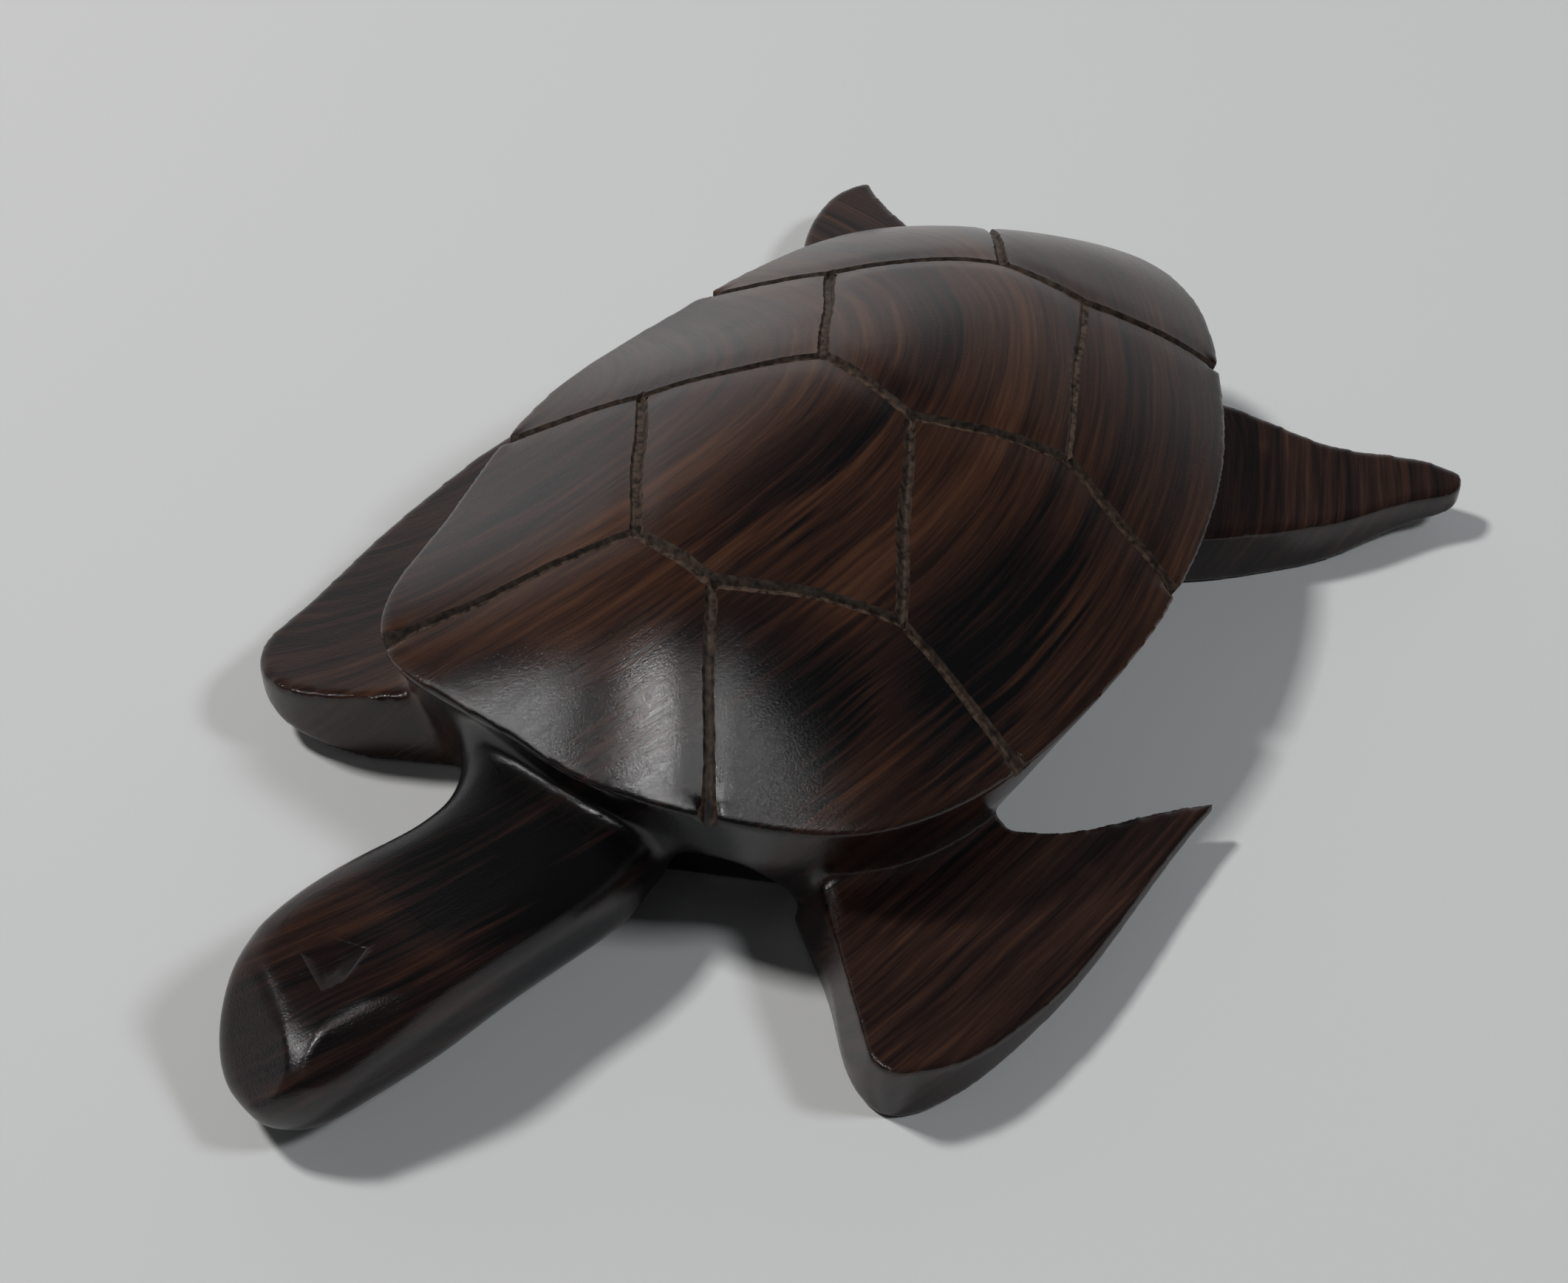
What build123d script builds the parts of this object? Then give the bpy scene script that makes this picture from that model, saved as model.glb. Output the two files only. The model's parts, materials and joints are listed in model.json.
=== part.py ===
from build123d import *
import os

# A sea turtle carved from one block of dark hardwood, in millimetres. It lies on its flat belly on
# the table, looks along -Y, and its left side is +X. The origin is on the table under the shell.
# The carving is divided where its forms meet: the shell, the body under it, the head with its neck,
# and four flippers. Every form runs into the body and is trimmed there, so they meet face to face.

# Shell
shell_half_width = 39.0
shell_front = 48.0
shell_back = 60.0
shell_top = 36.2
rim_height = 19.3
rim_lean = 1.3
groove_width = 1.4
groove_depth = 0.9

# Body: the seam under the shell, and the armpit, a hollow that opens to the table between
# the neck and the front left flipper
seam_height = 0.674 * rim_height
armpit_half_width = 7.8
armpit_height = 0.87 * seam_height
armpit_depth = 8.0
armpit_turn = 32.3

# Head and neck
head_width = 20.8
head_height = 13.0
chin_height = 2.2
snout_reach = 90.2
neck_drift = 4.6

# Front flippers: how far each reaches out from the shoulder, ahead of the shell and back to its tip
shoulder_share = 0.68
front_left_span = 27.7
front_left_lead = 0.2
front_left_sweep = 53.8
front_right_span = 20.7
front_right_lead = 5.9
front_right_sweep = 55.4
shoulder_height = 0.6 * rim_height
elbow_height = 0.466 * rim_height
front_tip_height = 0.26 * rim_height
front_left_edge_rise = 3.4
bevel_foot = 1.8
front_right_edge_rise = 4.4

# Rear flippers: how far each reaches out from the hip and back past it
hip_share = 0.41
hip_place_share = 0.44
rear_left_span = 30.0
rear_left_sweep = 38.5
rear_right_span = 31.0
rear_right_sweep = 33.5
hip_height = 0.477 * rim_height
rear_tip_height = 0.332 * rim_height
rear_edge_rise = 3.0

# The rim's plan outline as shares of the half width, and of the front or back length, with the
# share to which the waist under it is drawn in. The shell is cut by eye: its left shoulder is round,
# its right one is a tighter corner, and the waist stays out where the front flippers grow from it.
left_rim_shares = [
    (0.00, -0.99, 0.93),
    (0.30, -0.944, 0.95),
    (0.60, -0.822, 0.98),
    (0.82, -0.679, 0.97),
    (0.95, -0.48, 0.96),
    (1.00, -0.15, 0.93),
    (0.975, 0.12, 0.87),
    (0.89, 0.36, 0.86),
    (0.737, 0.586, 0.84),
    (0.50, 0.80, 0.83),
    (0.252, 0.95, 0.82),
    (0.06, 1.00, 0.82),
]
right_rim_shares = [
    (-0.144, 0.95, 0.82),
    (-0.427, 0.869, 0.83),
    (-0.657, 0.755, 0.84),
    (-0.838, 0.553, 0.85),
    (-0.935, 0.28, 0.87),
    (-0.955, -0.05, 0.90),
    (-0.90, -0.40, 0.94),
    (-0.79, -0.66, 0.96),
    (-0.70, -0.87, 0.96),
    (-0.58, -0.99, 0.95),
    (-0.315, -1.014, 0.93),
]


def rim_point(x_share, y_share):
    """A place over the shell's plan, from its shares."""
    reach = shell_back if y_share > 0 else shell_front
    return (x_share * shell_half_width, y_share * reach)


# The dome's cross-sections from front to back: the place along the shell, and the height of the
# skirt outside the rim and of the flank on the right, of the ridge, and of the flank and the skirt
# on the left, as shares of the top's height. In front the left side falls away earlier, and behind
# the right side stays fuller.
flank_share = 0.51
skirt_share = 1.08
dome_shares = [
    (-1.17, 0.18, 0.38, 0.40, 0.37, 0.18),
    (-1.00, 0.31, 0.565, 0.565, 0.485, 0.31),
    (-0.79, 0.35, 0.665, 0.773, 0.615, 0.40),
    (-0.54, 0.40, 0.735, 0.923, 0.77, 0.46),
    (-0.23, 0.46, 0.81, 0.986, 0.81, 0.49),
    (0.083, 0.45, 0.815, 1.00, 0.815, 0.47),
    (0.317, 0.42, 0.78, 0.959, 0.775, 0.405),
    (0.617, 0.29, 0.695, 0.83, 0.64, 0.25),
    (0.833, 0.10, 0.505, 0.675, 0.47, 0.06),
    (1.00, -0.15, 0.25, 0.49, 0.30, -0.18),
    (1.13, -0.38, 0.08, 0.33, 0.09, -0.39),
]
dome_floor = -shell_top


def dome(lowered=0.0):
    """The shell's domed top, taken past the rim on every side and lowered by some depth."""
    across_shares = (-skirt_share, -flank_share, 0, flank_share, skirt_share)
    with BuildPart() as made:
        for place, *heights in dome_shares:
            arch = []
            for x_share, height in zip(across_shares, heights):
                arch.append((x_share * shell_half_width, height * shell_top - lowered))
            right_end = arch[0]
            left_end = arch[-1]
            with BuildSketch(Plane.XZ.offset(-rim_point(0, place)[1])):
                with BuildLine():
                    Spline(*arch)
                    Polyline(left_end, (left_end[0], dome_floor), (right_end[0], dome_floor), right_end)
                make_face()
        loft()
    return made.part


# The hull is the body and the shell's undercut in one: it narrows steeply from the rim to the seam,
# and below the seam it tapers towards a place near its front end, down to the flat belly. Each level
# has a height, a lean towards the front, the share by which its outline is drawn in, where 0 is the
# rim and 1 is the waist, and its taper.
lip = rim_height / 6
taper_place = -0.62 * shell_front
floor_taper = 0.86
hull_levels = [
    (-seam_height, 0, 0.95, 2 * floor_taper - 1),
    (seam_height, 0, 0.95, 1),
    (rim_height, rim_lean, 0, 1),
    (rim_height + lip, rim_lean, -0.7, 1),
]
with BuildPart() as hull:
    for height, lean, draw, taper in hull_levels:
        outline = []
        for x_share, y_share, waist_share in left_rim_shares + right_rim_shares:
            drawn_share = 1 - draw * (1 - waist_share)
            x, y = rim_point(x_share * drawn_share, y_share * drawn_share)
            outline.append((x * taper, taper_place + (y - taper_place) * taper))
        with BuildSketch(Plane.XY.offset(height).rotated((-lean, 0, 0))):
            with BuildLine():
                Spline(*outline, periodic=True)
            make_face()
    loft(ruled=True)
    extrude(hull.faces().sort_by(Axis.Z)[-1], amount=rim_height)

seam = Plane.XY.offset(seam_height)

# Shell: the dome inside the hull's flare, which leaves a crisp rim, with the scutes' grooves cut in.
# Groove corners as shares of the half width and of the front or back length.
groove_corner_shares = {
    "front right": (-0.136, -0.537),
    "front left": (0.147, -0.539),
    "side right": (-0.566, -0.153),
    "side left": (0.549, -0.294),
    "middle right": (-0.17, 0.093),
    "middle left": (0.174, 0.077),
    "hip right": (-0.54, 0.396),
    "hip left": (0.507, 0.271),
    "back right": (-0.124, 0.597),
    "back left": (0.146, 0.634),
    "rim front right": (-0.63, -1.046),
    "rim front left": (0.56, -0.93),
    "rim side right": (-1.02, -0.404),
    "rim side left": (1.06, -0.314),
    "rim hip right": (-1.01, 0.277),
    "rim hip left": (0.99, 0.265),
    "rim back right": (-0.55, 0.90),
    "rim back left": (0.518, 0.845),
}
groove_runs = [
    ("rim front right", "front right", "front left", "rim front left"),
    ("front right", "side right", "middle right", "middle left", "side left", "front left"),
    ("rim side right", "side right"),
    ("rim side left", "side left"),
    ("middle right", "hip right", "back right", "back left", "hip left", "middle left"),
    ("rim hip right", "hip right"),
    ("rim hip left", "hip left"),
    ("rim back right", "back right"),
    ("rim back left", "back left"),
]
with BuildPart() as grooves:
    with BuildSketch(seam):
        with BuildLine():
            for run in groove_runs:
                Polyline(*[rim_point(*groove_corner_shares[corner]) for corner in run])
        trace(line_width=groove_width)
    extrude(amount=shell_top)
    add(dome(groove_depth), mode=Mode.SUBTRACT)

with BuildPart() as shell:
    add(hull.part)
    add(dome(), mode=Mode.INTERSECT)
    split(bisect_by=seam, keep=Keep.TOP)
    add(grooves.part, mode=Mode.SUBTRACT)
shell.part.label = "shell"

# Body: the hull below the shell, flat underneath where the carving rests, with the armpit's arch
# cut in from the front.
armpit_shares = (0.526, -0.865)
with BuildPart() as body:
    add(hull.part)
    split(bisect_by=seam, keep=Keep.BOTTOM)
    split(bisect_by=Plane.XY, keep=Keep.TOP)
    armpit_middle = rim_point(*armpit_shares)
    inwards = Vector(0, 1, 0).rotate(Axis.Z, armpit_turn)
    armpit = Plane(origin=armpit_middle, x_dir=inwards.rotate(Axis.Z, -90), z_dir=inwards)
    with BuildSketch(armpit.offset(-armpit_depth)):
        Ellipse(armpit_half_width, armpit_height)
    extrude(amount=2 * armpit_depth, mode=Mode.SUBTRACT)
body.part.label = "body"

# Head and neck: a thick bar that flares into the chest and ends in a blunt rounded snout. Each
# section has its place along the reach, its drift to the left, its width, bottom and top.
neck_root_share = 0.79
head_shares = [
    (0.00, -0.45, 1.60, 0.00, 0.96),
    (0.15, 0.00, 1.36, 0.03, 0.99),
    (0.24, 0.62, 1.12, 0.06, 1.02),
    (0.33, 0.78, 1.00, 0.08, 1.00),
    (0.50, 0.51, 1.00, 0.075, 1.01),
    (0.68, 0.27, 1.01, 0.045, 1.055),
    (0.82, 0.14, 0.91, 0.02, 0.97),
    (0.917, 0.20, 0.73, 0.03, 0.76),
    (0.974, 0.27, 0.46, 0.08, 0.54),
    (1.00, 0.35, 0.22, 0.17, 0.40),
]
head_corner_shares = [(1, 0.45), (0.91, 0.82), (0.66, 1)]
neck_root = neck_root_share * shell_front
with BuildPart() as head_and_neck:
    for place, drift, width, bottom, top in head_shares:
        half_height = (top - bottom) * head_height / 2
        half_width = width * head_width / 2
        section = Plane(
            origin=(
                drift * neck_drift,
                -neck_root - place * (snout_reach - neck_root),
                chin_height + (top + bottom) * head_height / 2,
            ),
            x_dir=(1, 0, 0),
            z_dir=(0, -1, 0),
        )
        corners = []
        for x_side, z_side in ((1, 1), (-1, 1), (-1, -1), (1, -1)):
            corner = [(x_side * x * half_width, z_side * z * half_height) for x, z in head_corner_shares]
            corners += corner if x_side == z_side else corner[::-1]
        with BuildSketch(section):
            with BuildLine():
                Polyline(*corners, close=True)
            make_face()
    loft()
    add(hull.part, mode=Mode.SUBTRACT)
head_and_neck.part.label = "head_and_neck"


# Flippers: flat blades with upright edges. The top falls from the root to the tip, and the underside
# is pared away towards the outer edge, so that only the inner part rests on the table. Every place is
# in shares of the span, outwards from the root, and of the sweep, backwards.
def plane_through(first, second, third):
    """The plane through three points, facing up."""
    across = Vector(second) - Vector(first)
    along = Vector(third) - Vector(first)
    normal = across.cross(along)
    return Plane(origin=first, z_dir=normal if normal.Z > 0 else normal * -1)


def flipper(side, root, reach, outline_shares, top_shares, top_heights, pare_shares, edge_rise, bevel):
    """One blade, on side 1 for left or -1 for right, trimmed where it meets the body and the shell."""
    span, sweep = reach
    leading_shares, trailing_shares = outline_shares

    def place(share):
        return (side * (root[0] + share[0] * span), root[1] + share[1] * sweep)

    def slope(shares, heights):
        return plane_through(*[(*place(share), height) for share, height in zip(shares, heights)])

    leading = [place(share) for share in leading_shares]
    trailing = [place(share) for share in trailing_shares]
    with BuildPart() as blade:
        with BuildSketch():
            with BuildLine():
                Spline(*leading)
                Spline(leading[-1], *trailing[:-1])
                Polyline(trailing[-2], trailing[-1], leading[0])
            make_face()
        extrude(amount=seam_height)
        split(bisect_by=slope(top_shares, top_heights), keep=Keep.BOTTOM)
        split(bisect_by=slope(pare_shares, (0, 0, edge_rise)), keep=Keep.TOP)
        if bevel:
            split(bisect_by=slope(*bevel), keep=Keep.BOTTOM)
        add(hull.part, mode=Mode.SUBTRACT)
    return blade.part


shoulder_x = shoulder_share * shell_half_width
hip_x = hip_share * shell_half_width
hip_y = hip_place_share * shell_back
front_heights = (shoulder_height, elbow_height, front_tip_height)
rear_heights = (hip_height, hip_height, rear_tip_height)

# The front left flipper bends at its elbow and sweeps back to a sharp tip.
front_left_leading_shares = [
    (-0.33, 0.34),
    (0.02, 0.228),
    (0.325, 0.134),
    (0.668, 0.028),
    (0.747, 0.03),
    (0.84, 0.078),
    (0.913, 0.145),
    (0.967, 0.264),
    (0.986, 0.418),
    (0.957, 0.608),
    (0.885, 0.99),
]
front_left_trailing_shares = [(0.679, 0.809), (0.505, 0.667), (0.40, 0.62), (0.10, 0.66)]
front_left_top_shares = [(0.02, 0.228), (0.747, 0.03), (0.885, 0.99)]
front_left_pare_shares = [(0.848, 0.05), (0.65, 0.99), (0.978, 0.418)]
front_left_bevel_shares = [(0.667, 0.033), (0.061, 0.253), (0.151, 0.184)]
front_left_flipper = flipper(
    1,
    (shoulder_x, -shell_front - front_left_lead),
    (front_left_span, front_left_sweep),
    (front_left_leading_shares, front_left_trailing_shares),
    front_left_top_shares,
    front_heights,
    front_left_pare_shares,
    front_left_edge_rise,
    (front_left_bevel_shares, (elbow_height, shoulder_height, bevel_foot)),
)
front_left_flipper.label = "front_left_flipper"

# The front right flipper lies closer to the shell, and its underside is pared from the root outwards.
front_right_leading_shares = [
    (-0.80, 0.28),
    (-0.43, 0.179),
    (-0.058, 0.081),
    (0.169, 0.025),
    (0.362, 0.002),
    (0.58, 0.02),
    (0.70, 0.07),
    (0.758, 0.173),
    (0.884, 0.413),
    (0.971, 0.648),
    (1.0, 0.816),
    (0.918, 1.0),
]
front_right_trailing_shares = [(0.67, 0.83), (0.46, 0.69), (0.28, 0.63), (0.0, 0.64)]
front_right_top_shares = [(-0.28, 0.157), (0.62, 0.03), (0.918, 1.0)]
front_right_pare_shares = [(-0.03, 0.07), (0.46, 0.96), (0.971, 0.648)]
front_right_flipper = flipper(
    -1,
    (shoulder_x, -shell_front - front_right_lead),
    (front_right_span, front_right_sweep),
    (front_right_leading_shares, front_right_trailing_shares),
    front_right_top_shares,
    front_heights,
    front_right_pare_shares,
    front_right_edge_rise,
    None,
)
front_right_flipper.label = "front_right_flipper"

# The rear flippers trail outwards from the hips: the left one is long and narrow, the right one is
# broader and bends back at its tip.
rear_left_leading_shares = [
    (0.0, 0.0),
    (0.38, 0.18),
    (0.59, 0.38),
    (0.77, 0.60),
    (0.925, 0.84),
    (0.99, 0.935),
    (0.95, 1.0),
]
rear_left_trailing_shares = [
    (0.785, 0.96),
    (0.52, 0.82),
    (0.30, 0.76),
    (0.03, 0.70),
    (-0.22, 0.52),
    (-0.40, 0.10),
]
rear_left_top_shares = [(0.0, 0.0), (0.03, 0.72), (0.95, 1.0)]
rear_left_pare_shares = [(0.70, 0.50), (0.40, 0.80), (0.95, 1.0)]
rear_left_flipper = flipper(
    1,
    (hip_x, hip_y),
    (rear_left_span, rear_left_sweep),
    (rear_left_leading_shares, rear_left_trailing_shares),
    rear_left_top_shares,
    rear_heights,
    rear_left_pare_shares,
    rear_edge_rise,
    None,
)
rear_left_flipper.label = "rear_left_flipper"

rear_right_leading_shares = [
    (0.0, 0.0),
    (0.45, 0.14),
    (0.70, 0.36),
    (0.875, 0.545),
    (0.965, 0.715),
    (0.99, 0.90),
    (0.93, 1.0),
]
rear_right_trailing_shares = [
    (0.755, 0.92),
    (0.555, 0.86),
    (0.30, 0.78),
    (0.03, 0.71),
    (-0.22, 0.54),
    (-0.40, 0.10),
]
rear_right_top_shares = [(0.0, 0.0), (0.03, 0.72), (0.93, 1.0)]
rear_right_pare_shares = [(0.70, 0.50), (0.40, 0.80), (0.95, 1.0)]
rear_right_flipper = flipper(
    -1,
    (hip_x, hip_y),
    (rear_right_span, rear_right_sweep),
    (rear_right_leading_shares, rear_right_trailing_shares),
    rear_right_top_shares,
    rear_heights,
    rear_right_pare_shares,
    rear_edge_rise,
    None,
)
rear_right_flipper.label = "rear_right_flipper"


def export_all(*parts):
    """Write each piece under its own label."""
    os.makedirs("parts", exist_ok=True)
    for part in parts:
        export_step(part, "parts/" + part.label + ".step")


export_all(
    shell.part,
    body.part,
    head_and_neck.part,
    front_left_flipper,
    front_right_flipper,
    rear_left_flipper,
    rear_right_flipper,
)
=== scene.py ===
import json
import math
import random

import bpy
import numpy as np
from mathutils import Matrix, Vector

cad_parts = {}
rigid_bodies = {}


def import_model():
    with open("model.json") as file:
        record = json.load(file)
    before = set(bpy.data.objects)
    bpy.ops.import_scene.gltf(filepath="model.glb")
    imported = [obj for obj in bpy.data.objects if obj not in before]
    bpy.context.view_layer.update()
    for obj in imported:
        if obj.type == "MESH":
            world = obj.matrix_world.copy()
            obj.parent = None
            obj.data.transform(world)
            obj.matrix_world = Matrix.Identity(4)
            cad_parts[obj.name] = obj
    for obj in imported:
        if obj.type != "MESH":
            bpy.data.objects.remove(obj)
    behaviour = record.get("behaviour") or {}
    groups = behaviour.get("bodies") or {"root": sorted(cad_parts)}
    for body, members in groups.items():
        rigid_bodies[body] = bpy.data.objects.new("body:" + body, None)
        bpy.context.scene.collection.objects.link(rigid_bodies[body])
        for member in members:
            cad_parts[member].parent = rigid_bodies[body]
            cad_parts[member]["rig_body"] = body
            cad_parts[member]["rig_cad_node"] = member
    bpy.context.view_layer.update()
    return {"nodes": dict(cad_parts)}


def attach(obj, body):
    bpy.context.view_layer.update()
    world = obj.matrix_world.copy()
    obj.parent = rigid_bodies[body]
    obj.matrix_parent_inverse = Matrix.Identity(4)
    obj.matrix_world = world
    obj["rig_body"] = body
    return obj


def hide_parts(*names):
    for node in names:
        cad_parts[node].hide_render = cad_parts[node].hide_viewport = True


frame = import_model()

# Camera: it stands off the turtle's left shoulder, about 30 cm away, and looks down on the shell.
# The picture is 2122 by 1736, and the lens is measured in its pixels, along its long side.
picture_width = 2122
lens_in_pixels = 3468
sensor_width = 36
sight_azimuth = math.radians(41.34)
sight_elevation = math.radians(48.58)
sight_roll = math.radians(0.18)
sight_distance = 0.2997
sight_target = Vector((-0.00242, -0.00541, 0))
nearest_seen = 0.01
farthest_seen = 20
backwards = Vector(
    (
        math.sin(sight_azimuth) * math.cos(sight_elevation),
        -math.cos(sight_azimuth) * math.cos(sight_elevation),
        math.sin(sight_elevation),
    )
)
level = Vector((math.cos(sight_azimuth), math.sin(sight_azimuth), 0))
upright = backwards.cross(level)
rolled_level = level * math.cos(sight_roll) + upright * math.sin(sight_roll)
rolled_upright = upright * math.cos(sight_roll) - level * math.sin(sight_roll)
bpy.ops.object.camera_add(location=sight_target + backwards * sight_distance)
camera = bpy.context.object
camera.name = "camera"
camera.rotation_euler = Matrix((rolled_level, rolled_upright, backwards)).transposed().to_euler()
camera.data.sensor_width = sensor_width
camera.data.sensor_fit = "HORIZONTAL"
camera.data.lens = lens_in_pixels / picture_width * sensor_width
camera.data.clip_start = nearest_seen
camera.data.clip_end = farthest_seen
bpy.context.scene.camera = camera
bpy.context.scene.view_settings.view_transform = "Standard"

# Table top: a plain pale surface that the turtle lies on. It is matt, so it hardly mirrors the
# turtle, and runs out past the picture on all sides.
table_size = 6
table_colour = (0.6, 0.605, 0.605, 1)
table_roughness = 0.6
table_sheen = 0.2
bpy.ops.mesh.primitive_plane_add(size=table_size)
table = bpy.context.object
table.name = "table_top"
table_paint = bpy.data.materials.new("pale_table")
table_paint.use_nodes = True
table_shader = table_paint.node_tree.nodes["Principled BSDF"]
table_shader.inputs["Base Color"].default_value = table_colour
table_shader.inputs["Roughness"].default_value = table_roughness
table_shader.inputs["Specular IOR Level"].default_value = table_sheen
table.data.materials.append(table_paint)

# Studio light: a dim room whose far wall, behind the turtle's right side, is bright down to the
# table. A soft lamp stands on each side, and three small ones in front only glint on the polish.
# Each lamp has a name, the direction it stands in, its width in metres, its watts and its tint.
wall_direction = (-0.82, 0.57, 0)
wall_fade = (0.0, 0.85)
height_fade = (0.85, 0.2)
wall_strength = 0.53
room_strength = 0.042
room_tint = (0.96, 0.985, 1, 1)
lamp_distance = 1.2
side_lamps = (
    ("right_lamp", (-0.68, -0.2, 1), 0.15, 9.8, (1, 0.985, 0.965)),
    ("left_lamp", (0.756, 0.5, 1), 0.2, 5.0, (0.93, 0.97, 1)),
)
glint_lamps = (
    ("glint_ahead", (0.02, -0.58, 0.82), 0.08, 2.5, (1, 1, 1)),
    ("glint_overhead", (0.31, -0.43, 0.85), 0.16, 0.75, (1, 1, 1)),
    ("glint_low", (-0.41, -0.69, 0.60), 0.06, 1.4, (1, 1, 1)),
)
room = bpy.data.worlds.new("grey_room")
room.use_nodes = True
room_tree = room.node_tree
sky = room_tree.nodes["Background"]
gaze = room_tree.nodes.new("ShaderNodeTexCoord")
towards_wall = room_tree.nodes.new("ShaderNodeVectorMath")
towards_wall.operation = "DOT_PRODUCT"
towards_wall.inputs[1].default_value = wall_direction
room_tree.links.new(gaze.outputs["Generated"], towards_wall.inputs[0])
upwards = room_tree.nodes.new("ShaderNodeSeparateXYZ")
room_tree.links.new(gaze.outputs["Generated"], upwards.inputs[0])
glow = []
for feed, (dark_at, bright_at) in (
    (towards_wall.outputs["Value"], wall_fade),
    (upwards.outputs["Z"], height_fade),
):
    fade = room_tree.nodes.new("ShaderNodeMapRange")
    fade.interpolation_type = "SMOOTHSTEP"
    fade.inputs["From Min"].default_value = dark_at
    fade.inputs["From Max"].default_value = bright_at
    room_tree.links.new(feed, fade.inputs["Value"])
    glow.append(fade.outputs["Result"])
wall = room_tree.nodes.new("ShaderNodeMath")
wall.operation = "MULTIPLY"
room_tree.links.new(glow[0], wall.inputs[0])
room_tree.links.new(glow[1], wall.inputs[1])
brightness = room_tree.nodes.new("ShaderNodeMath")
brightness.operation = "MULTIPLY_ADD"
brightness.inputs[1].default_value = wall_strength
brightness.inputs[2].default_value = room_strength
room_tree.links.new(wall.outputs[0], brightness.inputs[0])
room_tree.links.new(brightness.outputs[0], sky.inputs["Strength"])
sky.inputs["Color"].default_value = room_tint
bpy.context.scene.world = room


def soft_lamp(name, towards, width, watts, tint):
    """A square lamp that stands in some direction from the turtle and faces it."""
    place = Vector(towards).normalized() * lamp_distance
    bpy.ops.object.light_add(type="AREA", location=place)
    lamp = bpy.context.object
    lamp.name = name
    lamp.data.shape = "SQUARE"
    lamp.data.size = width
    lamp.data.energy = watts
    lamp.data.color = tint
    lamp.rotation_euler = Vector(towards).to_track_quat("Z", "Y").to_euler()
    return lamp


for side_lamp in side_lamps:
    soft_lamp(*side_lamp).visible_glossy = False
for glint_lamp in glint_lamps:
    soft_lamp(*glint_lamp).visible_diffuse = False

# The block: one piece of dark, dense hardwood. Copies of the solids are run together into one
# skin, as the real forms grow out of one block. The skin is sanded, drawn back onto the solids
# and sanded again.
mm = 0.001
merge_gap = 0.000001
skin_voxel = 0.00042
first_strokes = 8
last_strokes = 7
sanding_strength = 0.6
sanding_steps = 10
bpy.ops.object.select_all(action="DESELECT")
for solid in frame["nodes"].values():
    solid.select_set(True)
bpy.context.view_layer.objects.active = frame["nodes"]["body"]
bpy.ops.object.duplicate()
bpy.ops.object.parent_clear(type="CLEAR_KEEP_TRANSFORM")
for copied in bpy.context.selected_objects:
    del copied["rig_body"]
    del copied["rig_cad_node"]
bpy.ops.object.mode_set(mode="EDIT")
bpy.ops.mesh.select_all(action="SELECT")
bpy.ops.mesh.remove_doubles(threshold=merge_gap)
bpy.ops.object.mode_set(mode="OBJECT")
bpy.ops.object.join()
carving = bpy.context.object
carving.name = "carving"
carving.data.materials.clear()
bpy.ops.object.duplicate()
true_forms = bpy.context.object
bpy.context.view_layer.objects.active = carving
skin = carving.modifiers.new("skin", "REMESH")
skin.mode = "VOXEL"
skin.voxel_size = skin_voxel
skin.use_smooth_shade = True
bpy.ops.object.modifier_apply(modifier=skin.name)


def places_of(worked):
    """The places of a mesh's points, in millimetres."""
    places = np.empty(len(worked.data.vertices) * 3, np.float32)
    worked.data.vertices.foreach_get("co", places)
    return places.reshape(-1, 3) / mm


def sand(worked, weights, strokes, strength=sanding_strength):
    """Sandpaper over part of a mesh: it evens out the points by how much they weigh."""
    patch = worked.vertex_groups.new(name="sanded")
    for step in range(1, sanding_steps + 1):
        over = weights > (step - 0.5) / sanding_steps
        chosen = np.nonzero(over & (weights <= (step + 0.5) / sanding_steps))[0]
        if len(chosen):
            patch.add(chosen.tolist(), step / sanding_steps, "REPLACE")
    sanding = worked.modifiers.new("sanding", "SMOOTH")
    sanding.factor = strength
    sanding.iterations = strokes
    sanding.vertex_group = patch.name
    bpy.ops.object.modifier_apply(modifier=sanding.name)
    worked.vertex_groups.clear()


sand(carving, np.ones(len(carving.data.vertices)), first_strokes)
fitting = carving.modifiers.new("fitting", "SHRINKWRAP")
fitting.target = true_forms
bpy.ops.object.modifier_apply(modifier=fitting.name)
bpy.data.objects.remove(true_forms)
sand(carving, np.ones(len(carving.data.vertices)), last_strokes)

# Wood: near-black heartwood with red-brown streaks. Its rings stand round a tipped pith just past
# the right rim, so the streaks run along the shell in front and bend into arcs behind. Sizes are
# in millimetres, and a pattern's lengths are across the rings, along the turtle and up.
pith_x = -36
pith_y = -10
pith_tip = 0.6
dome_level = 33
front_bend = 0.5
sway_lengths = (16, 40, 16)
sway_width = 2.4
band_lengths = (3.6, 60, 34)
line_lengths = (0.85, 20, 14)
fibre_lengths = (0.3, 7, 5)
patch_lengths = (17, 34, 17)
pore_lengths = (0.2, 1.6, 1.2)
speck_lengths = (0.22, 0.28, 0.22)
band_share = 0.24
line_share = 0.56
fibre_share = 0.22
patch_share = 0.14
soft_detail = 2
fine_detail = 3
soft_spread = 0.55
gritty_spread = 0.7
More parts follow.
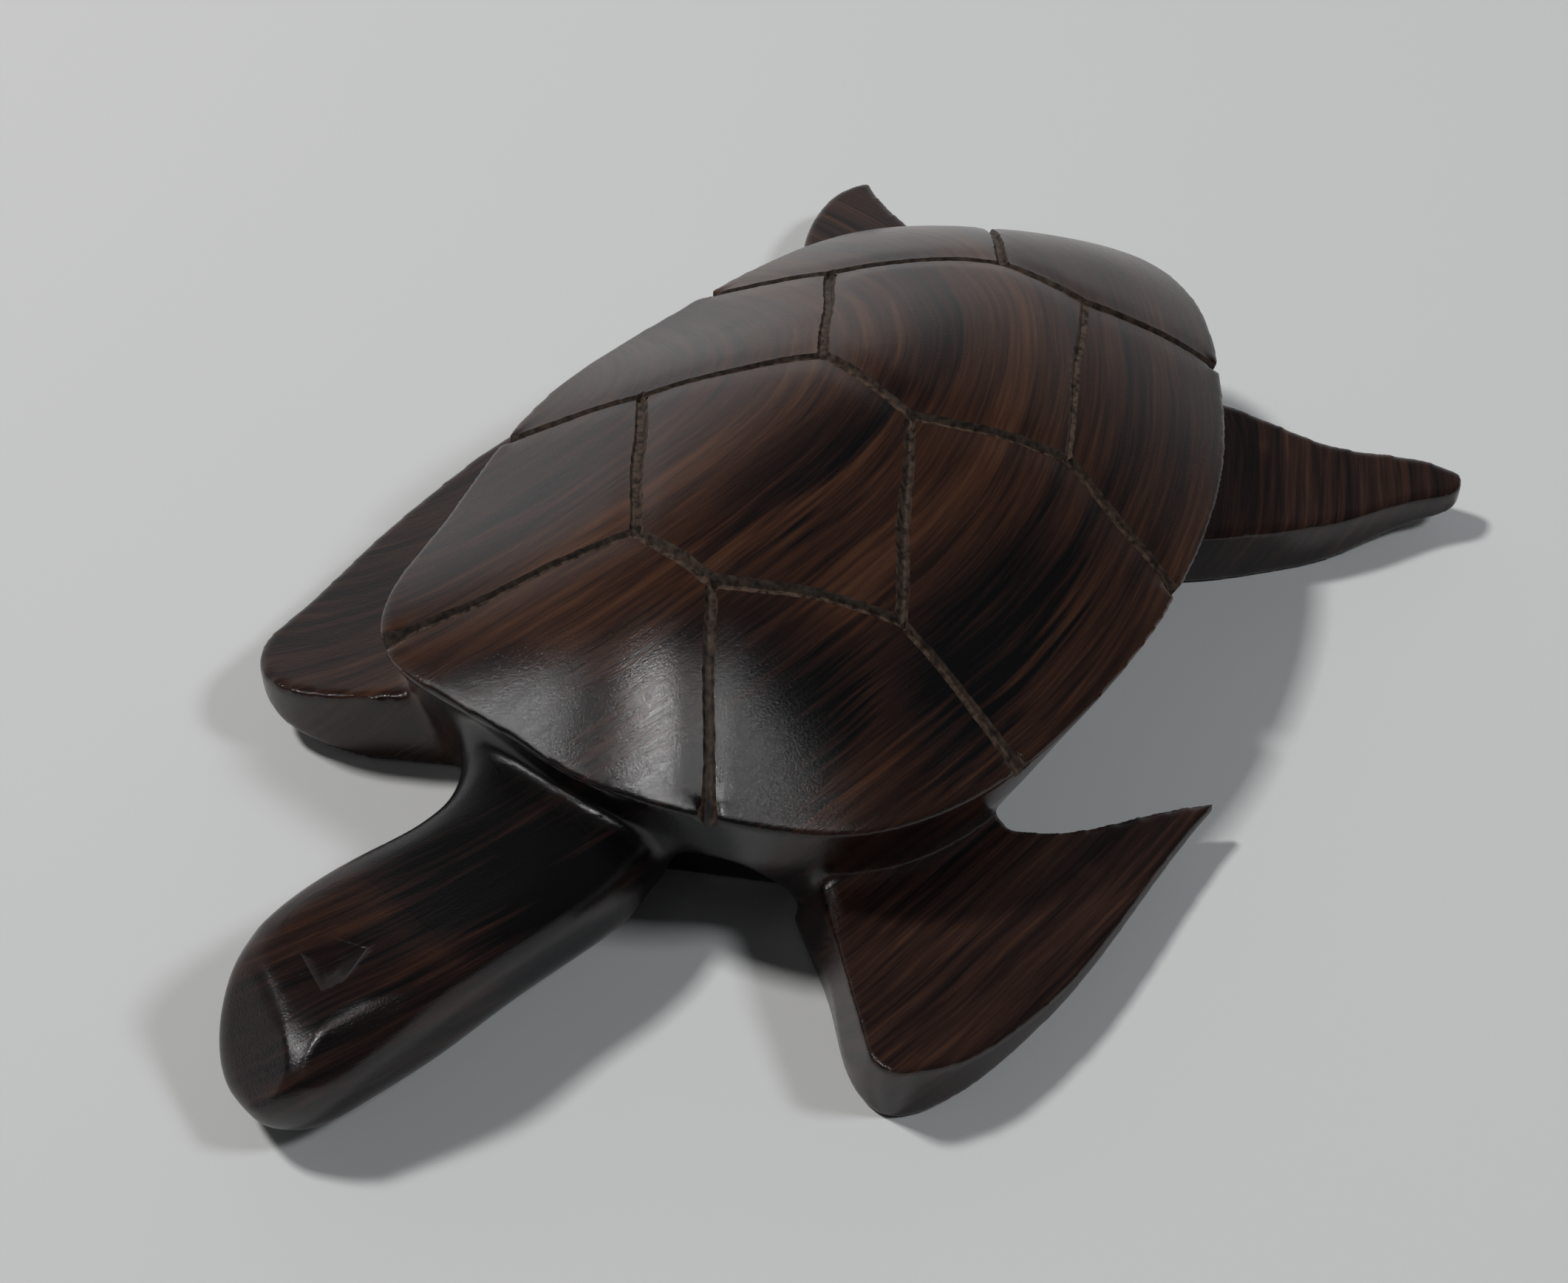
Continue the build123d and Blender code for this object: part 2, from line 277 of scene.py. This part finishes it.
# Brighter rings: middle, reach and share.
bright_rings = ((34, 10, 0.09), (53, 6, 0.12))
# Dark stains and painted shade, from above: middle, half sizes and share.
dark_stains_and_shade = (
    ((27, -5), (5, 14), 0.15),
    ((30, -16), (5, 9), 0.13),
    ((17, -33), (9, 13), 0.24),
    ((3, -9), (4, 17), 0.18),
    # Darker wood on the neck, and painted shade where its root lies under the front rim of the
    # shell.
    ((2, -54), (19, 13), 0.32),
    ((2, -78), (13, 16), 0.13),
)
darkening_raggedness = 14
darkening_fall = 0.7
polish_roughness = 0.14
polish_unevenness = 0.16
pore_strength = 0.8
pore_depth = 0.000024
shell_colours = (
    (0.40, (0.0032, 0.0028, 0.0034)),
    (0.54, (0.016, 0.0078, 0.0062)),
    (0.65, (0.034, 0.0145, 0.0092)),
    (0.82, (0.072, 0.031, 0.0165)),
)
body_colours = (
    (0.40, (0.0028, 0.0025, 0.003)),
    (0.54, (0.014, 0.007, 0.006)),
    (0.65, (0.030, 0.014, 0.010)),
    (0.80, (0.068, 0.031, 0.018)),
)


def reckon(tree, operation, *feeds):
    """One step of arithmetic on numbers or sockets."""
    step = tree.nodes.new("ShaderNodeMath")
    step.operation = operation
    for socket, feed in zip(step.inputs, feeds):
        if isinstance(feed, (int, float)):
            socket.default_value = feed
        else:
            tree.links.new(feed, socket)
    return step.outputs[0]


def cloud(tree, feeds, lengths, detail, spread=soft_spread):
    """Soft noise from 0 to 1 that changes over a given length along each feed."""
    space = tree.nodes.new("ShaderNodeCombineXYZ")
    for socket, feed, length in zip(space.inputs, feeds, lengths):
        tree.links.new(reckon(tree, "DIVIDE", feed, length), socket)
    noise = tree.nodes.new("ShaderNodeTexNoise")
    noise.inputs["Scale"].default_value = 1
    noise.inputs["Detail"].default_value = detail
    noise.inputs["Roughness"].default_value = spread
    tree.links.new(space.outputs[0], noise.inputs["Vector"])
    return noise.outputs["Fac"]


def ramp(tree, feed, stops):
    """Colours along a value."""
    blend = tree.nodes.new("ShaderNodeValToRGB")
    while len(blend.color_ramp.elements) < len(stops):
        blend.color_ramp.elements.new(0.5)
    for element, (place, colour) in zip(blend.color_ramp.elements, stops):
        element.position = place
        element.color = (*colour, 1)
    tree.links.new(feed, blend.inputs["Fac"])
    return blend.outputs["Color"]


def fall_off(tree, square, fall=1):
    """1 where the square of a distance is 0, falling to 0 as it grows."""
    fallen = reckon(tree, "SUBTRACT", 1, reckon(tree, "MULTIPLY", square, fall))
    return reckon(tree, "MAXIMUM", fallen, 0)


def squared_away(tree, feed, middle, reach):
    """The square of how many reaches a value is away from its middle."""
    away = reckon(tree, "DIVIDE", reckon(tree, "SUBTRACT", feed, middle), reach)
    return reckon(tree, "MULTIPLY", away, away)


def hardwood(name, colours):
    """The block's wood, as a material."""
    wood = bpy.data.materials.new(name)
    wood.use_nodes = True
    tree = wood.node_tree
    shader = tree.nodes["Principled BSDF"]
    spot = tree.nodes.new("ShaderNodeTexCoord")
    parts = tree.nodes.new("ShaderNodeSeparateXYZ")
    tree.links.new(spot.outputs["Object"], parts.inputs[0])
    x, y, z = [reckon(tree, "DIVIDE", part, mm) for part in parts.outputs]

    # The rings: how far a point of the wood is from the tipped pith, with a slow sway.
    tipped = reckon(tree, "MULTIPLY", reckon(tree, "SUBTRACT", dome_level, z), pith_tip)
    across = reckon(tree, "ADD", reckon(tree, "SUBTRACT", x, pith_x), tipped)
    along = reckon(tree, "SUBTRACT", y, pith_y)
    ahead = reckon(tree, "MULTIPLY", reckon(tree, "MINIMUM", along, 0), front_bend)
    behind = reckon(tree, "MAXIMUM", along, 0)
    squares = reckon(tree, "MULTIPLY", across, across)
    for leg in (ahead, behind):
        squares = reckon(tree, "ADD", squares, reckon(tree, "MULTIPLY", leg, leg))
    true_ring = reckon(tree, "SQRT", squares)
    slow = cloud(tree, (x, y, z), sway_lengths, soft_detail)
    sway = reckon(tree, "MULTIPLY", reckon(tree, "SUBTRACT", slow, 0.5), sway_width)
    ring = reckon(tree, "ADD", true_ring, sway)

    # The tone: streaks of three widths, loose patches, brighter rings, dark ragged stains and
    # painted shade.
    bands = cloud(tree, (ring, y, z), band_lengths, soft_detail)
    lines = cloud(tree, (ring, y, z), line_lengths, fine_detail)
    fibres = cloud(tree, (ring, y, z), fibre_lengths, soft_detail)
    patches = cloud(tree, (x, y, z), patch_lengths, soft_detail)
    tone = reckon(tree, "MULTIPLY", bands, band_share)
    for layer, share in ((lines, line_share), (fibres, fibre_share), (patches, patch_share)):
        tone = reckon(tree, "ADD", tone, reckon(tree, "MULTIPLY", layer, share))
    for middle, reach, share in bright_rings:
        hump = fall_off(tree, squared_away(tree, ring, middle, reach))
        tone = reckon(tree, "ADD", tone, reckon(tree, "MULTIPLY", hump, share))
    ragged = reckon(tree, "MULTIPLY", reckon(tree, "SUBTRACT", lines, 0.5), darkening_raggedness)
    ragged_x = reckon(tree, "ADD", x, ragged)
    # Each one darkens the tone: a stain of the wood, and round the neck root also painted shade.
    for (darkening_x, darkening_y), (half_x, half_y), share in dark_stains_and_shade:
        away_x = squared_away(tree, ragged_x, darkening_x, half_x)
        away_y = squared_away(tree, y, darkening_y, half_y)
        darkening = fall_off(tree, reckon(tree, "ADD", away_x, away_y), darkening_fall)
        tone = reckon(tree, "SUBTRACT", tone, reckon(tree, "MULTIPLY", darkening, share))
    tree.links.new(ramp(tree, tone, colours), shader.inputs["Base Color"])

    # The finish: waxed to an uneven polish, with open pores and fine specks.
    uneven = reckon(tree, "MULTIPLY", fibres, polish_unevenness)
    tree.links.new(reckon(tree, "ADD", uneven, polish_roughness), shader.inputs["Roughness"])
    pores = cloud(tree, (ring, y, z), pore_lengths, fine_detail, gritty_spread)
    specks = cloud(tree, (x, y, z), speck_lengths, soft_detail, gritty_spread)
    relief = tree.nodes.new("ShaderNodeBump")
    relief.inputs["Strength"].default_value = pore_strength
    relief.inputs["Distance"].default_value = pore_depth
    tree.links.new(reckon(tree, "ADD", pores, specks), relief.inputs["Height"])
    tree.links.new(relief.outputs["Normal"], shader.inputs["Normal"])
    return wood


shell_wood = hardwood("shell_wood", shell_colours)
body_wood = hardwood("body_wood", body_colours)
carving.data.materials.append(body_wood)

# Scutes: ten fields on the shell, parted by grooves that a small file or V-tool cuts. The plain
# grooves of the solid are sanded away here, and wavering ones are cut in their place once the
# head is done.
groove_runs = [
    [(-24.6, -50.2), (-5.3, -25.8), (5.7, -25.9), (21.8, -44.6)],
    [(-5.3, -25.8), (-22.1, -7.3), (-6.6, 5.6), (6.8, 4.6), (21.4, -14.1), (5.7, -25.9)],
    [(-39.8, -19.4), (-22.1, -7.3)],
    [(41.3, -15.1), (21.4, -14.1)],
    [(-6.6, 5.6), (-21.1, 23.8), (-4.8, 35.8), (5.7, 38.0)],
    [(5.7, 38.0), (19.8, 16.3)],
    [(19.8, 16.3), (6.8, 4.6)],
    [(-39.4, 16.6), (-21.1, 23.8)],
    [(38.6, 15.9), (19.8, 16.3)],
    [(-21.5, 54.0), (-4.8, 35.8)],
    [(20.2, 50.7), (5.7, 38.0)],
]
groove_reach = 1.6
groove_strokes = 240
groove_strength = 1.0
dome_strokes = 70
dome_strength = 0.5
dome_foot = 15.5
rim_low = 15
rim_high = 22
rim_margin = 1.3
upright_limit = 0.1
shell_middle_y = 4
rim_sectors = 180


def near_lines(places, runs, reach):
    """1 for points within reach of the lines, seen from above, and 0 past half as far again."""
    nearest = np.full(len(places), np.inf)
    for run in runs:
        for first, second in zip(run[:-1], run[1:]):
            first, second = np.array(first), np.array(second)
            along = second - first
            share = np.clip((places[:, :2] - first) @ along / (along @ along), 0, 1)
            offsets = places[:, :2] - first - share[:, None] * along
            nearest = np.minimum(nearest, np.linalg.norm(offsets, axis=1))
    return np.clip(3 - 2 * nearest / reach, 0, 1)


def inside_rim(places, margin):
    """1 for points of the dome two margins inside the rim, from above, and 0 within one of it."""
    slopes = np.empty(len(places) * 3, np.float32)
    carving.data.vertices.foreach_get("normal", slopes)
    upright_skin = slopes.reshape(-1, 3)[:, 2] < upright_limit
    edge = places[upright_skin & (places[:, 2] > rim_low) & (places[:, 2] < rim_high)]
    angle = np.arctan2(edge[:, 1] - shell_middle_y, edge[:, 0])
    far = np.linalg.norm(edge[:, :2] - (0, shell_middle_y), axis=1)
    bins = np.linspace(-math.pi, math.pi, rim_sectors + 1)
    reach = []
    for low, high in zip(bins[:-1], bins[1:]):
        reach.append(far[(angle >= low) & (angle <= high)].max(initial=0))
    own_angle = np.arctan2(places[:, 1] - shell_middle_y, places[:, 0])
    own_far = np.linalg.norm(places[:, :2] - (0, shell_middle_y), axis=1)
    rim = np.interp(own_angle, (bins[:-1] + bins[1:]) / 2, reach, period=2 * math.pi)
    return np.clip((rim - own_far) / margin - 1, 0, 1) * (places[:, 2] > dome_foot)


places = places_of(carving)
dome_weights = inside_rim(places, rim_margin)
groove_weights = near_lines(places, groove_runs, groove_reach) * dome_weights
sand(carving, groove_weights, groove_strokes, groove_strength)
sand(carving, dome_weights, dome_strokes, dome_strength)

# Hollows: where neck, flippers and shell meet, the file has left hollows and no sharp corner.
# They are sanded round each of these places, most of all where the neck comes out, and stop
# below the rim.
hollow_places = (
    ((0, -46, 9), 17),
    ((-17, -43, 9), 9),
    ((17, -43, 9), 9),
    ((30, -33, 11), 9),
    ((33, -22, 11), 8),
    ((-26, -38, 9), 9),
    ((-31, -26, 9), 8),
    ((22, 28, 8), 10),
    ((12, 38, 8), 10),
    ((-22, 28, 8), 10),
    ((-12, 38, 8), 10),
)
hollow_top = 18.6
hollow_foot = 1
hollow_strokes = 60
neck_root_middle = (2, -47, 13)
neck_root_half = (20, 11, 9)
neck_root_top = 18.4
neck_root_strokes = 220
neck_root_strength = 1.0
top_fade = 1.6
places = places_of(carving)
hollows = np.zeros(len(places))
for middle, reach in hollow_places:
    away = np.linalg.norm(places - np.array(middle), axis=1) / reach
    hollows = np.maximum(hollows, np.clip(2 - 2 * away, 0, 1))
hollows *= np.clip((hollow_top - places[:, 2]) / top_fade, 0, 1) * (places[:, 2] > hollow_foot)
sand(carving, hollows, hollow_strokes)
places = places_of(carving)
away = np.linalg.norm((places - neck_root_middle) / neck_root_half, axis=1)
neck_root = np.clip(2 - 2 * away, 0, 1)
neck_root *= np.clip((neck_root_top - places[:, 2]) / top_fade, 0, 1)
sand(carving, neck_root, neck_root_strokes, neck_root_strength)

# Head: sandpaper has rounded it all over. The face and the left cheek are flat paring strokes that
# meet in a soft ridge, and on the brow a corner has been scooped out.
head_start = -50
head_fade = 8
head_foot = 0.5
head_strokes = 30
paring_strokes = (
    ((2.6, -82.1, 15.6), (-0.197, -0.728, 0.657)),
    ((5.6, -82.6, 14.2), (0.6, -0.35, 0.72)),
)
pared_reach = -73
knife_size = 40
edge_half = 2.2
ridge_x = 2.5
ridge_fade = 3
ridge_softness = 0.04
ridge_half = 1.5
face_start = -70
face_fade = 3
face_foot = 1
edge_strokes = 60
brow_corners = [(4.7, -82.5), (-4.0, -78.5), (-3.0, -73.8), (3.4, -71.3), (5.0, -77.3)]
brow_depth = 1.0
brow_slope_share = 0.2
chisel_headroom = 0.6
overhead = 60
downwards = Vector((0, 0, -1))


def cut(worked, tool, operation="DIFFERENCE"):
    """One boolean cut, after which the tool is put away."""
    bpy.context.view_layer.objects.active = worked
    cutting = worked.modifiers.new("cut", "BOOLEAN")
    cutting.operation = operation
    cutting.solver = "MANIFOLD"
    cutting.material_mode = "TRANSFER"
    cutting.object = tool
    bpy.ops.object.modifier_apply(modifier=cutting.name)
    bpy.data.objects.remove(tool)


def wood_block(outline, low, high, low_share=1):
    """A block with a plan outline between two levels, drawn in at the bottom for a scoop."""
    middle = sum((Vector(corner) for corner in outline), Vector((0, 0))) / len(outline)
    if sum(a[0] * b[1] - a[1] * b[0] for a, b in zip(outline, outline[1:] + outline[:1])) < 0:
        outline = outline[::-1]
    corners = [(*((Vector(corner) - middle) * low_share + middle), low) for corner in outline]
    corners += [(*corner, high) for corner in outline]
    count = len(outline)
    sides = [(i, (i + 1) % count, (i + 1) % count + count, i + count) for i in range(count)]
    blank = bpy.data.meshes.new("block")
    faces = sides + [tuple(range(count))[::-1], tuple(range(count, 2 * count))]
    blank.from_pydata([Vector(corner) * mm for corner in corners], [], faces)
    block = bpy.data.objects.new("block", blank)
    bpy.context.collection.objects.link(block)
    blank.materials.append(body_wood)
    return block


places = places_of(carving)
head_weights = np.clip((head_start - places[:, 1]) / head_fade, 0, 1)
sand(carving, head_weights * (places[:, 2] > head_foot), head_strokes)
heights = []
for middle, facing in paring_strokes:
    facing = Vector(facing).normalized()
    places = places_of(carving)
    height = (places - np.array(middle)) @ np.array(facing)
    heights.append(height)
    bpy.ops.mesh.primitive_plane_add(
        size=knife_size * mm,
        location=Vector(middle) * mm,
        rotation=facing.to_track_quat("Z", "Y").to_euler(),
    )
    paring_knife = bpy.context.object
    bpy.ops.object.select_all(action="DESELECT")
    carving.select_set(True)
    bpy.context.view_layer.objects.active = carving
    proud = np.nonzero((height > 0) & (places[:, 1] < pared_reach))[0]
    pared = carving.vertex_groups.new(name="pared")
    pared.add(proud.tolist(), 1.0, "REPLACE")
    paring = carving.modifiers.new("paring", "SHRINKWRAP")
    paring.target = paring_knife
    paring.vertex_group = pared.name
    bpy.ops.object.modifier_apply(modifier=paring.name)
    carving.vertex_groups.clear()
    bpy.data.objects.remove(paring_knife)

# The edges of both strokes are rubbed soft, on the face only right of the ridge between them.
places = places_of(carving)
near_face, near_cheek = [np.clip(edge_half - np.abs(height), 0, 1) for height in heights]
right_of_ridge = np.clip((ridge_x - places[:, 0]) / ridge_fade, ridge_softness, 1)
off_ridge = np.clip(np.abs(heights[0]) / ridge_half - 1, 0, 1)
softened = np.maximum(near_face * right_of_ridge, near_cheek * off_ridge)
softened *= np.clip((face_start - places[:, 1]) / face_fade, 0, 1) * (places[:, 2] > face_foot)
sand(carving, softened, edge_strokes)

brow_middle = sum((Vector(corner) for corner in brow_corners), Vector((0, 0))) / len(brow_corners)
_, brow_top, _, _ = carving.ray_cast(Vector((*brow_middle, overhead)) * mm, downwards)
brow_level = brow_top.z / mm
scoop_floor = brow_level - brow_depth
scoop_top = brow_level + chisel_headroom
cut(carving, wood_block(brow_corners, scoop_floor, scoop_top, brow_slope_share))

# Grooves: a flat-bottomed blade is drawn along each line, at an even depth below the dome. The
# hand drifts and shakes a little, the edges chip, and pale dust lies on the rough bottom. The
# groove on the left of the rear middle scute is cut faint.
blade_depth = 0.6
blade_profile = [
    (-1.1, 0.9),
    (-0.66, 0.0),
    (-0.34, -blade_depth),
    (0.34, -blade_depth),
    (0.66, 0.0),
    (1.1, 0.9),
]
groove_step = 0.6
faint_run = [(5.7, 38.0), (19.8, 16.3)]
faint_share = 0.35
tremor = random.Random(11)
tremor_count = 400
drift_width = 0.16
drift_pace = 0.21
shake_width = 0.05
swell_share = 0.1
swell_pace = 0.13
swell_shake = 0.05
wave_lead = 3
rim_reach = 24
chip_size = 0.00004
chip_kinds = 1000
dust_colours = (
    (0.36, (0.014, 0.008, 0.006)),
    (0.64, (0.075, 0.050, 0.036)),
)
dust_scale = 1300
dust_detail = 3
dust_roughness = 0.6
dust_strength = 0.6
dust_depth = 0.0001
bpy.ops.curve.primitive_bezier_curve_add()
blade = bpy.context.object
blade.name = "blade"
blade.data.dimensions = "2D"
blade.data.splines.clear()
blade_line = blade.data.splines.new("POLY")
blade_line.points.add(len(blade_profile) - 1)
for point, (across, up) in zip(blade_line.points, blade_profile):
    point.co = (across * mm, up * mm, 0, 1)
blade_line.use_cyclic_u = True


def groove_cutter(run, depth_share):
    """The blade's path along one run of the grooves, as a closed mesh."""
    path = []
    sway = [tremor.uniform(-1, 1) for _ in range(tremor_count)]
    for first, second in zip(run[:-1], run[1:]):
        first, second = Vector(first), Vector(second)
        steps = max(2, round((second - first).length / groove_step))
        side = (second - first).normalized().orthogonal()
        for step in range(steps):
            share = step / steps
            drift = math.sin(len(path) * drift_pace + sway[0] * wave_lead)
            wave = drift_width * math.sin(math.pi * share) * drift
            wave += shake_width * sway[len(path) % tremor_count]
            path.append(first + (second - first) * share + side * wave)
    path.append(Vector(run[-1]))
    line = []
    for place in path:
        above = Vector((place.x, place.y, overhead)) * mm
        found, spot, _, _ = carving.ray_cast(above, downwards)
        height = spot.z / mm if found else -1
        # Past the rim the blade runs off the shell at the slope that it had.
        if height < dome_foot and len(line) > 1 and line[-1][2] < rim_reach:
            height = 2 * line[-1][2] - line[-2][2]
        line.append((place.x, place.y, height))
    # A run that starts past the rim is led in from outside, at the slope of its first steps.
    if line[0][2] < dome_foot:
        line = [point for point in line if point[2] > dome_foot]
        line.insert(0, tuple(2 * Vector(line[0]) - Vector(line[3])))
    lift = blade_depth * (1 - depth_share)
    bpy.ops.curve.primitive_bezier_curve_add()
    cutter = bpy.context.object
    cutter.data.dimensions = "3D"
    cutter.data.twist_mode = "Z_UP"
    cutter.data.splines.clear()
    track = cutter.data.splines.new("POLY")
    track.points.add(len(line) - 1)
    for number, (point, (x, y, z)) in enumerate(zip(track.points, line)):
        point.co = (x * mm, y * mm, (z + lift) * mm, 1)
        swell = swell_share * math.sin(number * swell_pace + sway[1] * wave_lead)
        point.radius = 1 + swell + swell_shake * sway[-number % tremor_count]
    cutter.data.bevel_mode = "OBJECT"
    cutter.data.bevel_object = blade
    cutter.data.use_fill_caps = True
    bpy.ops.object.convert(target="MESH")
    bpy.ops.object.mode_set(mode="EDIT")
    bpy.ops.mesh.select_all(action="SELECT")
    bpy.ops.mesh.remove_doubles(threshold=merge_gap)
    chips = tremor.randrange(chip_kinds)
    bpy.ops.transform.vertex_random(offset=chip_size, uniform=1.0, normal=0.0, seed=chips)
    bpy.ops.mesh.normals_make_consistent(inside=False)
    bpy.ops.object.mode_set(mode="OBJECT")
    return cutter


dusty_groove = bpy.data.materials.new("dusty_groove")
dusty_groove.use_nodes = True
dust_tree = dusty_groove.node_tree
dust_shader = dust_tree.nodes["Principled BSDF"]
dust_spot = dust_tree.nodes.new("ShaderNodeTexCoord")
dust_grit = dust_tree.nodes.new("ShaderNodeTexNoise")
dust_grit.inputs["Scale"].default_value = dust_scale
dust_grit.inputs["Detail"].default_value = dust_detail
dust_tree.links.new(dust_spot.outputs["Object"], dust_grit.inputs["Vector"])
dust_colour = ramp(dust_tree, dust_grit.outputs["Fac"], dust_colours)
dust_tree.links.new(dust_colour, dust_shader.inputs["Base Color"])
dust_shader.inputs["Roughness"].default_value = dust_roughness
dust_relief = dust_tree.nodes.new("ShaderNodeBump")
dust_relief.inputs["Strength"].default_value = dust_strength
dust_relief.inputs["Distance"].default_value = dust_depth
dust_tree.links.new(dust_grit.outputs["Fac"], dust_relief.inputs["Height"])
dust_tree.links.new(dust_relief.outputs["Normal"], dust_shader.inputs["Normal"])
for run in groove_runs:
    cutter = groove_cutter(run, faint_share if run == faint_run else 1.0)
    cutter.data.materials.clear()
    cutter.data.materials.append(dusty_groove)
    cut(carving, cutter)
bpy.data.objects.remove(blade)

# Head and neck: the thick neck comes out between the front flippers and bends a little to the
# left. It is the first piece to be parted from the one carving, which is divided where its forms
# meet, as the solids are.
below_table = -1
neck_top = 15.6
crisp_edge = math.radians(34)
neck_root_line = [(13.8, -41.3), (24, -50), (24, -100), (-24, -100), (-24, -53), (-17, -45.1)]


def finish_piece(piece, node):
    """Smooth shading up to the crisp edges, and the piece's place in the build."""
    bpy.ops.object.select_all(action="DESELECT")
    piece.select_set(True)
    bpy.context.view_layer.objects.active = piece
    bpy.ops.object.shade_smooth_by_angle(angle=crisp_edge)
    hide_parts(node)
    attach(piece, "root")


def part_off(name, outline, low, high):
    """Take one named piece off the carving, inside a block."""
    bpy.ops.object.select_all(action="DESELECT")
    carving.select_set(True)
    bpy.context.view_layer.objects.active = carving
    bpy.ops.object.duplicate()
    piece = bpy.context.object
    piece.name = name + "_carved"
    cut(piece, wood_block(outline, low, high), "INTERSECT")
    cut(carving, wood_block(outline, low, high))
    finish_piece(piece, name)


part_off("head_and_neck", neck_root_line, below_table, neck_top)

# Front flippers: broad paddles of the same block, swept back and not alike. The left one ends in
# a sharp tip that points back along the shell. The right one lies close to it and ends round.
seam_level = 13.0
left_shoulder = [
    (25.5, -34.6),
    (30.2, -28),
    (33.2, -20),
    (33.9, -12),
    (60, 5),
    (60, -60),
    (30, -60),
    (25.5, -37),
]
right_shoulder = [
    (-18.8, -44.6),
    (-23, -41),
    (-26, -35),
    (-28.4, -29),
    (-30.6, -19),
    (-31, -14),
    (-60, 0),
    (-60, -62),
    (-24, -62),
    (-17.6, -45.6),
]
part_off("front_left_flipper", left_shoulder, below_table, seam_level)
part_off("front_right_flipper", right_shoulder, below_table, seam_level)

# Rear flippers: two smaller fins of the same block that come out under the back of the shell. The
# left one is long and points outwards, and the right one is shorter and ends bluntly.
left_hip = [(6.8, 40.5), (13, 35.5), (19.5, 27.6), (30, 20), (60, 50), (60, 75), (0, 75)]
right_hip = [
    (-22.8, 27.5),
    (-18, 34.2),
    (-13, 37.6),
    (-7, 39.4),
    (-2, 75),
    (-60, 75),
    (-60, 40),
    (-30, 20),
]
part_off("rear_left_flipper", left_hip, below_table, seam_level)
part_off("rear_right_flipper", right_hip, below_table, seam_level)

# Body: the belly under the shell, with the chest and the arched armpit on the left. It is flat
# where it rests, and all that is left of the carving under the seam belongs to it.
whole_outline = [(-70, -70), (70, -70), (70, 70), (-70, 70)]
part_off("body", whole_outline, below_table, seam_level)

# Shell: the domed top with its crisp rim, undercut flank and ten scutes, which is what is left of
# the carving above the seam. It is the reddest part, so its skin takes the shell's colours.
for number, used in enumerate(carving.data.materials):
    if used == body_wood:
        carving.data.materials[number] = shell_wood
carving.name = "shell_carved"
finish_piece(carving, "shell")
